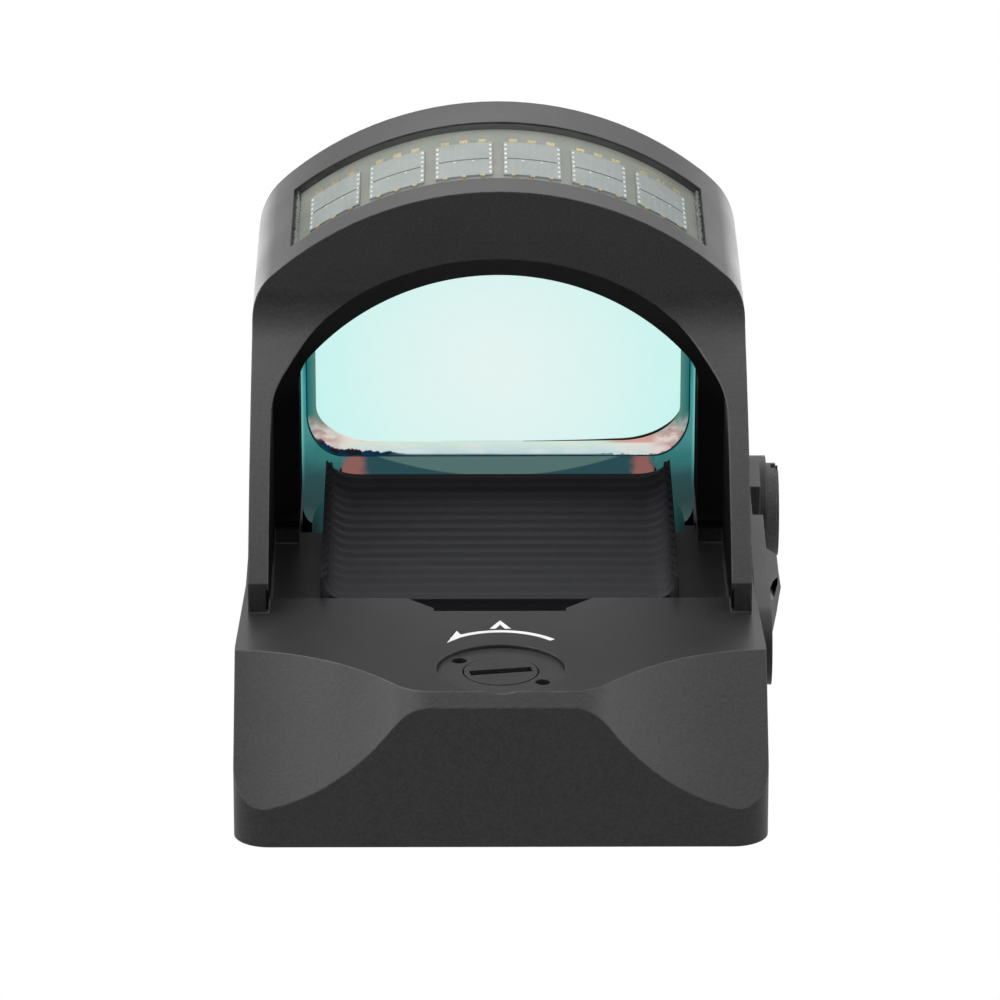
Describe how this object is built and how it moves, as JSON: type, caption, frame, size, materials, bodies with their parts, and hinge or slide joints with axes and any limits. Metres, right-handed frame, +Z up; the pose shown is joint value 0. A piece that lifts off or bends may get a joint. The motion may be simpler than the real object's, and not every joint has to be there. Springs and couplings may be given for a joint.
{
  "type": "red dot finder",
  "caption": "Open reflex red dot finder with a hooded window, solar roof panel, slotted adjusters, push buttons and a side battery tray.",
  "frame": {"origin": "centre of the underside of the base", "axes": "+Z up, +Y forward along the line of sight towards the target, +X to the right as seen from behind"},
  "size_m": [0.0316, 0.0452, 0.0292],
  "materials": {
    "housing": "hard anodised, matt black, fine blast texture",
    "lens_glass": "polished, dichroic coating that reflects red and looks mint green",
    "sealant": "black potting bead",
    "solar_substrate": "greenish grey film",
    "solar_cell": "blue grey thin film cells",
    "clear_window": "clear resin window, slightly cloudy",
    "white_fill": "white paint filled marking",
    "black_steel": "black oxide",
    "bare_aluminium": "machined",
    "spring_steel": "drawn wire",
    "black_plastic": "moulded",
    "led": "clear red die",
    "dark_window": "smoked window",
    "board": "solder mask green",
    "chip": "moulded chips",
    "tray_metal": "anodised matt black",
    "cell_can": "nickel plated can",
    "contact": "gold flashed spring leaf",
    "button_rubber": "moulded",
    "switch": "stamped can"
  },
  "bodies": {
    "body": {"housing": "housing", "lens": "lens_glass", "lens_seal": "sealant", "solar_substrate": "solar_substrate", "solar_cells": "solar_cell", "solar_window": "clear_window", "deck_arrow": "white_fill", "elevation_ring": "black_steel", "elevation_spring": "spring_steel", "emitter_window": "dark_window", "windage_ring": "black_steel", "glare_baffle": "black_plastic", "main_board": "board", "board_chips": "chip", "contact_plus": "contact", "contact_minus": "contact", "button_board": "board", "button_switches": "switch", "bottom_cover": "tray_metal", "cover_gasket": "sealant", "cover_screws": "black_steel"},
    "elevation_screw": {"elevation_screw": "black_steel"},
    "elevation_carriage": {"elevation_carriage": "bare_aluminium"},
    "emitter": {"emitter_carrier": "black_plastic", "led_emitter": "led"},
    "windage_screw": {"windage_screw": "black_steel"},
    "windage_slider": {"windage_slider": "bare_aluminium"},
    "battery_tray": {"battery_tray": "tray_metal", "tray_seal": "sealant", "battery": "cell_can"},
    "tray_screw": {"tray_screw": "black_steel"},
    "button_up": {"button_up": "button_rubber"},
    "button_down": {"button_down": "button_rubber"}
  },
  "joints": [
    {"name": "elevation_slide", "type": "slide", "parent": "body", "child": "elevation_carriage", "axis": [0, 0, 1], "range_m": [-0.00026, 0.00026], "deforming": ["elevation_spring"]},
    {"name": "elevation_turn", "type": "hinge", "parent": "body", "child": "elevation_screw", "pos_m": [0, -0.0184, 0.008], "axis": [0, 0, 1], "range_deg": [-234, 234]},
    {"name": "windage_slide", "type": "slide", "parent": "body", "child": "windage_slider", "axis": [1, 0, 0], "range_m": [-0.00026, 0.00026]},
    {"name": "windage_turn", "type": "hinge", "parent": "body", "child": "windage_screw", "pos_m": [0.0138, -0.0145, 0.0048], "axis": [1, 0, 0], "range_deg": [-234, 234]},
    {"name": "emitter_slide", "type": "slide", "parent": "elevation_carriage", "child": "emitter", "axis": [1, 0, 0], "range_m": [-0.00026, 0.00026]},
    {"name": "tray_slide", "type": "slide", "parent": "body", "child": "battery_tray", "axis": [1, 0, 0], "range_m": [0, 0.022]},
    {"name": "tray_screw_turn", "type": "hinge", "parent": "battery_tray", "child": "tray_screw", "pos_m": [0.0164, 0.015, 0.0059], "axis": [1, 0, 0], "continuous": true},
    {"name": "button_up_press", "type": "slide", "parent": "body", "child": "button_up", "axis": [1, 0, 0], "range_m": [0, 0.0004]},
    {"name": "button_down_press", "type": "slide", "parent": "body", "child": "button_down", "axis": [1, 0, 0], "range_m": [0, 0.0004]}
  ],
  "couplings": [
    {"joint": "elevation_turn", "follows": "elevation_slide", "rad_per_m": 15700},
    {"joint": "windage_turn", "follows": "windage_slide", "rad_per_m": 15700},
    {"joint": "emitter_slide", "follows": "windage_slide", "ratio": 1}
  ]
}
